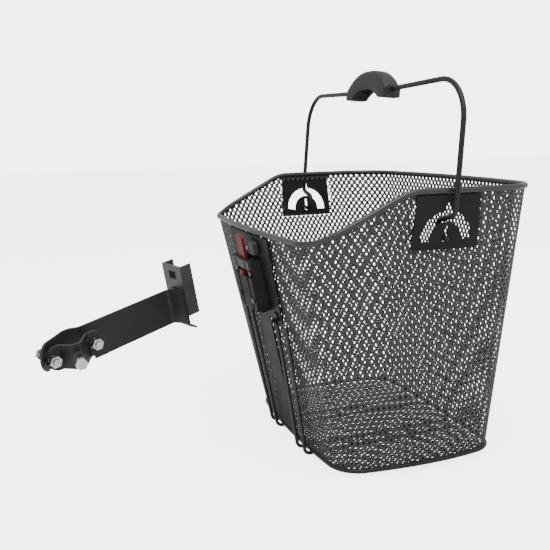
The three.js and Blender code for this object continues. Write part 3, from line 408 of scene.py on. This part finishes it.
# A lighter copy of the bracket paint for the channel alone: painted light, standing in for the light its web
# catches.
lit_channel_paint = varied(
    "black_bracket_paint_painted_light", (0.026, 0.026, 0.0265), (0.036, 0.036, 0.037), (0.36, 0.46), specular=0.45,
    grain=700)
housing_plastic = varied(
    "housing_plastic", (0.013, 0.013, 0.0132), (0.018, 0.018, 0.0185), (0.5, 0.62), specular=0.06,
    grain=2500, depth=0.4)
cover_plastic = varied(
    "cover_plastic", (0.016, 0.0145, 0.014), (0.024, 0.022, 0.021), (0.45, 0.6), specular=0.3, grain=2500,
    depth=0.4)
red_plastic = varied(
    "red_lever_plastic", (0.10, 0.010, 0.012), (0.13, 0.015, 0.016), (0.42, 0.55), specular=0.12, grain=600,
    depth=0.1)
grip_plastic = varied(
    "grip_plastic", (0.010, 0.0105, 0.012), (0.016, 0.0165, 0.018), (0.42, 0.56), specular=0.3, grain=1800,
    depth=0.35)
black_zinc = varied("black_zinc", (0.02, 0.02, 0.02), (0.035, 0.035, 0.035), (0.3, 0.4), specular=0.35)
# The darker copy of the wire coating, for the handle and base wires: painted shade.
shaded_wire_paint = varied(
    "black_coated_wire_painted_shade", (0.006, 0.006, 0.0065), (0.011, 0.011, 0.012), (0.36, 0.48), specular=0.25,
    grain=1500)
zinc = varied(
    "bright_zinc", (0.36, 0.37, 0.38), (0.52, 0.53, 0.54), (0.2, 0.32), metallic=1.0, grain=500, patch=160.0,
    depth=0.2)

FINISHES = {
    "expanded_mesh": black_mesh,
    "wire": lit_wire_paint,
    "sheet_steel": black_sheet,
    "bracket_steel": bracket_paint,
    "housing_plastic": housing_plastic,
    "cover_plastic": cover_plastic,
    "lever_plastic": red_plastic,
    "grip_plastic": grip_plastic,
    "zinc": zinc,
    "black_zinc": black_zinc,
}
slots = {part["node"]: part["material_slot"] for part in frame["record"]["subparts"]}
for name, node in nodes.items():
    node.data.materials.clear()
    # The channel takes the lighter copy of the bracket paint, which is painted light.
    node.data.materials.append(lit_channel_paint if name == "bracket_channel" else FINISHES[slots[name]])


def finish_piece(piece, body, slot_name, *replaced, paint=None):
    """Paints a piece, by its slot unless told otherwise, and hangs it on its body."""
    piece.data.materials.clear()
    piece.data.materials.append(paint or FINISHES[slot_name])
    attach(piece, body)
    if replaced:
        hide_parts(*replaced)


# ---------------------------------------------------------------- basket mesh

PLATE_EDGE = 0.6                    # cells centred up to this far behind a handle plate's edges are kept
CLOSED_HOLE = 0.05                  # what is left of the holes in the closed cells above the plates
FIRST_ROW_Z = 7.0
WALL_BOTTOM_Z = 4.6                 # the wall ends inside the base frame wire
WALL_UNDER_RIM = 2.4                # and inside the rim wire, this far below its centre
LAST_ROW_OVER_RIM = 1.5             # cells centred up to here are cut off at the rim
BASE_NARROWER = 0.9                 # width of the base's cells against the wall's
BASE_UNDER_WIRE = 1.4               # the base ends this far inside the base wire's centreline
BASE_OVERSHOOT = 2.0                # cells centred up to here past that edge are cut off at it
BASE_CELLS_EACH_WAY = 30
BASE_EXTRA_ROWS = 3                 # rows beyond the sheet's ends, whose cells are cut off at the edge


def box_mm(node):
    low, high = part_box(node)
    return np.array(low) / MM, np.array(high) / MM


plate_boxes = [box_mm("handle_plate_left"), box_mm("handle_plate_right")]


def behind_plate(points):
    """True where a point of the wall is behind a handle plate."""
    hidden = np.zeros(len(points), bool)
    for low, high in plate_boxes:
        inside = (points[:, 1] > low[1] + PLATE_EDGE) & (points[:, 1] < high[1] - PLATE_EDGE)
        inside &= (points[:, 2] > low[2] + PLATE_EDGE) & (points[:, 2] < high[2] - PLATE_EDGE)
        hidden |= inside & (np.sign(points[:, 0]) == np.sign(low[0]))
    return hidden


def above_plate(points):
    """True where a point of the wall is between a handle plate and the rim."""
    above = np.zeros(len(points), bool)
    for low, high in plate_boxes:
        inside = (points[:, 1] > low[1]) & (points[:, 1] < high[1]) & (points[:, 2] > high[2] - PLATE_EDGE)
        above |= inside & (np.sign(points[:, 0]) == np.sign(low[0]))
    return above


def middle_of_wall(centres):
    return wall_point(centres[:, 0], centres[:, 1], np.zeros(len(centres)))


def wall_centres():
    """Centres of the wall's cells, as the share of the way round and the height."""
    rows = []
    for j in range(-1, int(RIM_HIGH / ROW) + 1):
        share = (np.arange(HOLES_AROUND) + 0.5 * (j % 2)) / HOLES_AROUND
        rows.append(np.column_stack([share, np.full(HOLES_AROUND, FIRST_ROW_Z + ROW * j)]))
    centres = np.vstack(rows)
    top = closed_sample(rim_line, index_at(centres[:, 0]))[:, 2]
    centres = centres[centres[:, 1] < top + LAST_ROW_OVER_RIM]
    return centres[~behind_plate(middle_of_wall(centres))]


def place_on_wall(u, v, out):
    """From flat millimetres, u round the girth and v up, to the wall."""
    share = u / GIRTH
    top = closed_sample(rim_line, index_at(share))[..., 2]
    return wall_point(share, np.clip(v, WALL_BOTTOM_Z, top - WALL_UNDER_RIM), out)


def expanded_wall():
    centres = wall_centres()
    openness = np.where(above_plate(middle_of_wall(centres)), CLOSED_HOLE, 1.0)
    half_width = GIRTH / HOLES_AROUND / 2
    flat = centres * [GIRTH, 1.0]
    quarter = np.floor(flat[:, 0] / GIRTH * 4)
    order = np.lexsort((flat[:, 1], quarter))
    flat, openness = flat[order], openness[order]
    expanded_pieces("mesh_wall", flat, half_width, ROW, WALL_METAL, place_on_wall, openness, black_mesh)


def expanded_base():
    low, high = box_mm("mesh_base")
    half_width = GIRTH / HOLES_AROUND / 2 * BASE_NARROWER
    edge = base_line[:, :2] - base_normals[:, :2] * BASE_UNDER_WIRE
    angles = np.arctan2(edge[:, 1], edge[:, 0])
    order = np.argsort(angles)
    angles, radius = angles[order], np.hypot(edge[:, 0], edge[:, 1])[order]

    def reach(x, y):
        return np.interp(np.arctan2(y, x), angles, radius, period=2 * math.pi)

    def place(u, v, out):
        shrink = np.minimum(1.0, reach(u, v) / np.maximum(np.hypot(u, v), 1e-6))
        return np.stack([u * shrink, v * shrink, out + BASE_SHEET_Z], axis=-1)

    across = np.arange(-BASE_CELLS_EACH_WAY, BASE_CELLS_EACH_WAY + 1) * 2 * half_width
    rows = []
    for j in range(int((high[1] - low[1]) / ROW) + BASE_EXTRA_ROWS):
        y = np.full(len(across), low[1] - ROW + j * ROW)
        rows.append(np.column_stack([across + half_width * (j % 2), y]))
    centres = np.vstack(rows)
    centres = centres[np.hypot(*centres.T) < reach(*centres.T) + BASE_OVERSHOOT]
    openness = np.ones(len(centres))
    # The base takes the darker copy of the mesh coating: painted shade.
    expanded_pieces("mesh_base", centres, half_width, ROW, BASE_METAL, place, openness, base_mesh_painted_shade)


expanded_wall()
expanded_base()

# ---------------------------------------------------------------- wires

BACK_LEAN = math.atan2(base_line[0, 1] - rim_line[0, 1], RIM_LOW - BASE_WIRE_Z)
SUPPORT_RADIUS = 2.0
SUPPORT_AT_BASE = (-50.5, -31.5, 31.5, 50.5)
SUPPORT_SPREAD = 1.3                # how much wider the support wires stand at their top ends
SUPPORT_FRONT = 90.0                # where they end under the base
SUPPORT_Z = -3.1
SUPPORT_BEND = 6.5                  # radius of the bend round the base wire
SUPPORT_TOP_Z = 141.5               # just under the backing plate
SUPPORT_OUT = 2.9                   # from the middle of the wall to the middle of the support wire
SUPPORT_OFF_WIRE = 2.6              # added to that at the bend, to pass round the base wire
SUPPORT_OFF_WALL = 0.6              # added to it at the top, to stay clear of the wall
ARC_STEPS = 12

HANDLE_PLACE = np.array([0.0, -6.3, 236.1])    # middle between the pivots
HANDLE_TILT = math.radians(4.5)
HANDLE_WIRE_RADIUS = 2.5
HANDLE_ARC_STEPS = 14
HOOK_END_X, HOOK_X = 166.5, 149.0   # the wire's end on the pivots' axis, and its leg inside the basket
HOOK_BENDS = [5.0, 5.0, 6.0]        # radii of the three bends up to the outer leg
HOOK_IN_Z, HOOK_OUT_Z = 15.6, 21.8  # where it starts and ends its crossing through the plate's slot
FOOT_X, TOP_X = 174.5, 172.5        # the outer leg at its foot and at its top
SHOULDER_RADIUS = 39.3
SHOULDER_END_X = 130.7
BAR_START_X = 119.7                 # the bar's points start here, past the shoulder's bend
BAR_POINTS = 60
GRIP_HALF = 44.0
GRIP_RISE = 10.5                    # arch of the wire inside the grip
BAR_AT_GRIP = 138.8                 # height of the bar above the pivots, at the grip's ends
BAR_AT_SHOULDER = 141.4             # and at its shoulders
BAR_SLOPES_TO_X = 131.7             # the shoulders' place in that slope


def rounded(points, radii, segments=ARC_STEPS):
    """A run of straight lines whose corners are rounded to arcs."""
    points = [np.asarray(point, float) for point in points]
    path = [points[0]]
    for before, corner, after, radius in zip(points, points[1:], points[2:], radii):
        back = (before - corner) / np.linalg.norm(before - corner)
        ahead = (after - corner) / np.linalg.norm(after - corner)
        half = math.acos(float(np.clip(back @ ahead, -1, 1))) / 2
        towards = (back + ahead) / np.linalg.norm(back + ahead)
        centre = corner + towards * radius / math.sin(half)
        start = corner + back * radius / math.tan(half) - centre
        stop = corner + ahead * radius / math.tan(half) - centre
        sweep = math.pi - 2 * half
        for share in np.linspace(0, 1, segments + 1):
            weights = math.sin((1 - share) * sweep), math.sin(share * sweep)
            path.append(centre + (start * weights[0] + stop * weights[1]) / math.sin(sweep))
    path.append(points[-1])
    return np.array(path)


def base_y_at(x):
    """Where the base wire passes below the back wall at this x."""
    back = base_line[base_line[:, 1] < 0]
    back = back[np.argsort(back[:, 0])]
    return np.interp(x, back[:, 0], back[:, 1])


def support_path(x):
    """From under the front of the base round the base wire and up the back wall."""
    wire_y = base_y_at(x)
    lean_back = math.tan(BACK_LEAN) * (SUPPORT_TOP_Z - BASE_WIRE_Z)
    front = (x, SUPPORT_FRONT, SUPPORT_Z)
    corner = (x, wire_y - SUPPORT_OUT - SUPPORT_OFF_WIRE, SUPPORT_Z)
    top = (x * SUPPORT_SPREAD, wire_y - lean_back - SUPPORT_OUT - SUPPORT_OFF_WALL, SUPPORT_TOP_Z)
    return rounded([front, corner, top], [SUPPORT_BEND])


def to_basket(points):
    """From the handle's own frame, x across and z up the legs, to the basket's."""
    points = np.asarray(points, float)
    y, z = points[:, 1], points[:, 2]
    cos, sin = math.cos(HANDLE_TILT), math.sin(HANDLE_TILT)
    return HANDLE_PLACE + np.column_stack([points[:, 0], y * cos + z * sin, z * cos - y * sin])


def bar_height(x):
    """Height of the bar at x: an arch inside the grip, and a slight slope outside it."""
    inside = BAR_AT_GRIP + GRIP_RISE * np.clip(1 - (x / GRIP_HALF) ** 2, 0, 1) ** 2
    slope = (BAR_AT_SHOULDER - BAR_AT_GRIP) / (BAR_SLOPES_TO_X - GRIP_HALF)
    return np.where(np.abs(x) < GRIP_HALF, inside, BAR_AT_GRIP + slope * (np.abs(x) - GRIP_HALF))


def handle_path():
    corners = [
        (HOOK_END_X, 0, 0),
        (HOOK_X, 0, 0),
        (HOOK_X, 0, HOOK_IN_Z),
        (FOOT_X, 0, HOOK_OUT_Z),
        (TOP_X, 0, BAR_AT_SHOULDER),
        (SHOULDER_END_X, 0, BAR_AT_SHOULDER),
    ]
    leg = rounded(corners, [*HOOK_BENDS, SHOULDER_RADIUS], HANDLE_ARC_STEPS)[:-1]
    x = np.linspace(BAR_START_X, 0, BAR_POINTS)
    bar = np.column_stack([x, np.zeros_like(x), bar_height(x)])
    half = np.vstack([leg, bar])
    other = half[:-1][::-1] * [-1, 1, 1]
    return to_basket(np.vstack([half, other]))


for i, x in enumerate(SUPPORT_AT_BASE):
    piece = tube(f"support_wire_round_{i + 1}", support_path(x), SUPPORT_RADIUS)
    finish_piece(piece, "basket", "wire", f"support_wire_{i + 1}")
# The handle wire takes the darker copy of the wire coating: painted shade.
handle_wire = tube("handle_wire_round", handle_path(), HANDLE_WIRE_RADIUS)
finish_piece(handle_wire, "handle", "wire", "handle_wire", paint=shaded_wire_paint)
rim_wire = tube("rim_wire_round", rim_line, RIM_WIRE_RADIUS, closed=True)
finish_piece(rim_wire, "basket", "wire", "rim_wire")
# The base wire also takes the darker copy of the wire coating: painted shade.
base_wire = tube("base_wire_round", base_line, BASE_WIRE_RADIUS, closed=True)
finish_piece(base_wire, "basket", "wire", "base_frame_wire", paint=shaded_wire_paint)

# ---------------------------------------------------------------- grip

# Heights in this section are above the bar where it enters the grip.
GRIP_FOOT = 30.0                    # the flat feet start this far from the middle
GRIP_SIDE = 10.0                    # half the grip's width
GRIP_TOP_MIDDLE, GRIP_TOP_END = 21.0, 4.0
GRIP_ROUNDNESS = 2.6                # how late the arch's top falls away
GRIP_UNDER_MIDDLE, GRIP_UNDER_END = 2.0, -8.5
CROWN_RADIUS = 6.5                  # largest radius of the top's two long edges
CROWN_SHARE = 0.45                  # and as a share of the grip's height where it is thin
CROWN_POINTS = 9
HOLLOW_HALF = 6.2
HOLLOW_DEPTH = 5.5
HOLLOW_DRAFT = 0.7                  # how much narrower the hollow is at its bottom
HOLLOW_RUNOUT = 3.0                 # length over which it ends before the feet
END_ROUNDING = 1.2                  # length of the rounding at the grip's two ends
END_DRAW_IN, END_LIFT = 0.6, 0.5    # how much of it the sides and top draw in, and the underside lifts
GRIP_STEPS = 61
EVEN_STEPS_TO = 42.5                # the sections are evenly spaced up to here
END_STEPS = (0.0, 0.35, 0.8, 1.2)   # and then stand this far from the end
LOWER_EDGE = ((1.2, 0.0), (0.3, 0.35), (0.0, 1.3))    # rounding of the lower edges, inwards and up
RIB_AT = (-22, -11, 0, 11, 22)
RIB_HALF = 0.8
RIB_LIFT = 0.5                      # the ribs start this far inside the hollow


def grip_under(x):
    return GRIP_UNDER_MIDDLE + (GRIP_UNDER_END - GRIP_UNDER_MIDDLE) * (x / GRIP_FOOT) ** 2


def grip_section(x):
    """Outline across the grip at x, from one lower corner over the top, as points (y, z)."""
    share = min(abs(x) / GRIP_HALF, 1.0)
    top = GRIP_TOP_MIDDLE - (GRIP_TOP_MIDDLE - GRIP_TOP_END) * share ** GRIP_ROUNDNESS
    under = GRIP_UNDER_END if abs(x) >= GRIP_FOOT else grip_under(x)
    hollow = HOLLOW_DEPTH * np.clip((GRIP_FOOT - 1 - abs(x)) / HOLLOW_RUNOUT, 0, 1)
    end = max(0.0, abs(x) - (GRIP_HALF - END_ROUNDING))
    side = GRIP_SIDE - END_DRAW_IN * end
    top, under = top - END_DRAW_IN * end, under + END_LIFT * end
    crown = min(CROWN_RADIUS, CROWN_SHARE * (top - under))
    points = [(inwards - side, under + up) for inwards, up in LOWER_EDGE]
    for angle in np.radians(np.linspace(180, 90, CROWN_POINTS)):
        points.append((crown - side + crown * math.cos(angle), top - crown + crown * math.sin(angle)))
    points += [(-y, z) for y, z in points[::-1]]
    inner = HOLLOW_HALF - HOLLOW_DRAFT
    points += [(HOLLOW_HALF, under), (inner, under + hollow), (-inner, under + hollow), (-HOLLOW_HALF, under)]
    return points


def make_grip():
    ends = [GRIP_HALF - inwards for inwards in END_STEPS]
    even = np.linspace(-EVEN_STEPS_TO, EVEN_STEPS_TO, GRIP_STEPS)
    x = np.unique(np.concatenate([even, ends, [-end for end in ends]]))
    sections = [grip_section(value) for value in x]
    points = [(value, y, BAR_AT_GRIP + z) for value, section in zip(x, sections) for y, z in section]
    return mesh_object("grip_moulded", to_basket(points), loft_faces(len(x), len(sections[0])))


def make_rib(name, x):
    low = BAR_AT_GRIP + grip_under(x) + RIB_LIFT
    high = low + HOLLOW_DEPTH
    corners = [(x + a * RIB_HALF, b * HOLLOW_HALF, c) for a in (-1, 1) for b in (-1, 1) for c in (low, high)]
    faces = [(0, 1, 3, 2), (4, 6, 7, 5), (0, 4, 5, 1), (2, 3, 7, 6), (0, 2, 6, 4), (1, 5, 7, 3)]
    return mesh_object(name, to_basket(corners), faces, smooth=False)


CRISP_ANGLE = math.radians(40)


def smooth_by_angle(piece):
    """Shades a piece smooth, and keeps the edges crisp that turn by more than the crisp angle."""
    made = bmesh.new()
    made.from_mesh(piece.data)
    bmesh.ops.recalc_face_normals(made, faces=made.faces)
    for face in made.faces:
        face.smooth = True
    for edge in made.edges:
        edge.smooth = edge.calc_face_angle(0.0) < CRISP_ANGLE
    made.to_mesh(piece.data)
    made.free()
    return piece


finish_piece(smooth_by_angle(make_grip()), "handle", "grip_plastic", "handle_grip")
for i, x in enumerate(RIB_AT):
    finish_piece(make_rib(f"grip_rib_{i + 1}", x), "handle", "grip_plastic")

# ---------------------------------------------------------------- floor, light and camera

FLOOR_SIZE = 14
FLOOR_WHITE = (0.86, 0.86, 0.86)
FLOOR_PATCH = 0.6                   # noise scale of the floor's faint unevenness
FLOOR_GLOW = 3.6                    # the floor's own light, which only the camera's direct rays see
ROOM_LIGHT = 1.0
BACKDROP_LIGHT = 5.0                # brightness of the backdrop, likewise for direct rays only

bpy.ops.mesh.primitive_plane_add(size=FLOOR_SIZE, location=(0, 0, cad_box[0][2]))
floor = bpy.context.object
floor.name = "floor"
floor_made, floor_tree, floor_shader = material("floor_white", FLOOR_WHITE, roughness=0.9, specular=0.1)
floor_shader.inputs["Emission Color"].default_value = (1, 1, 1, 1)
direct = floor_tree.nodes.new("ShaderNodeLightPath")
glow = floor_tree.nodes.new("ShaderNodeMath")
glow.operation = "MULTIPLY"
glow.inputs[1].default_value = FLOOR_GLOW
floor_tree.links.new(direct.outputs["Is Camera Ray"], glow.inputs[0])
floor_tree.links.new(glow.outputs[0], floor_shader.inputs["Emission Strength"])
floor_drift = add_noise(floor_tree, FLOOR_PATCH)
floor_color = color_between(floor_tree, floor_drift, (0.85, 0.85, 0.85), (0.87, 0.87, 0.87))
floor_tree.links.new(floor_color, floor_shader.inputs["Base Color"])
floor.data.materials.append(floor_made)


def area_light(name, place, target, side, power):
    """A square white light of this side and power in watts, which faces the target."""
    data = bpy.data.lights.new(name, "AREA")
    data.shape = "RECTANGLE"
    data.size, data.size_y = side, side
    data.energy = power
    light = bpy.data.objects.new(name, data)
    bpy.context.scene.collection.objects.link(light)
    light.location = place
    direction = Vector(target) - Vector(place)
    light.rotation_euler = direction.to_track_quat("-Z", "Y").to_euler()


area_light("key", (1.5, -1.0, 1.5), (0, -0.05, 0.15), side=1.4, power=5)
area_light("rider_side", (0.7, -2.0, 0.6), (0, -0.2, 0.15), side=1.2, power=4)
area_light("fill", (1.6, 1.4, 1.2), (0, 0, 0.15), side=1.6, power=8)
area_light("top", (0.8, -0.3, 2.2), (0, 0, 0.15), side=1.6, power=52)

world = bpy.data.worlds.new("studio")
bpy.context.scene.world = world
world.use_nodes = True
room_nodes, room_links = world.node_tree.nodes, world.node_tree.links
room = room_nodes["Background"]
room.inputs["Color"].default_value = (1, 1, 1, 1)
room.inputs["Strength"].default_value = ROOM_LIGHT
backdrop = room_nodes.new("ShaderNodeBackground")
backdrop.inputs["Color"].default_value = (1, 1, 1, 1)
backdrop.inputs["Strength"].default_value = BACKDROP_LIGHT
direct = room_nodes.new("ShaderNodeLightPath")
choice = room_nodes.new("ShaderNodeMixShader")
room_links.new(direct.outputs["Is Camera Ray"], choice.inputs[0])
room_links.new(room.outputs[0], choice.inputs[1])
room_links.new(backdrop.outputs[0], choice.inputs[2])
room_links.new(choice.outputs[0], room_nodes["World Output"].inputs["Surface"])

CAMERA_PLACE = (0.70639, -0.36653, 0.32933)
CAMERA_RIGHT = (0.34382, 0.93885, -0.01895)
CAMERA_UP = (-0.17346, 0.08333, 0.98131)
CAMERA_FORWARD = (-0.92288, 0.33410, -0.19150)
CAMERA_SENSOR, CAMERA_LENS = 36.0, 46.6403    # millimetres
CAMERA_NEAR = 0.01

camera_data = bpy.data.cameras.new("camera")
camera_data.sensor_width = CAMERA_SENSOR
camera_data.lens = CAMERA_LENS
camera_data.clip_start = CAMERA_NEAR
camera = bpy.data.objects.new("camera", camera_data)
bpy.context.scene.collection.objects.link(camera)
right, up, forward = (Vector(axis).normalized() for axis in (CAMERA_RIGHT, CAMERA_UP, CAMERA_FORWARD))
turn = Matrix((right, up, -forward)).transposed().to_4x4()
camera.matrix_world = Matrix.Translation(CAMERA_PLACE) @ turn
bpy.context.scene.camera = camera
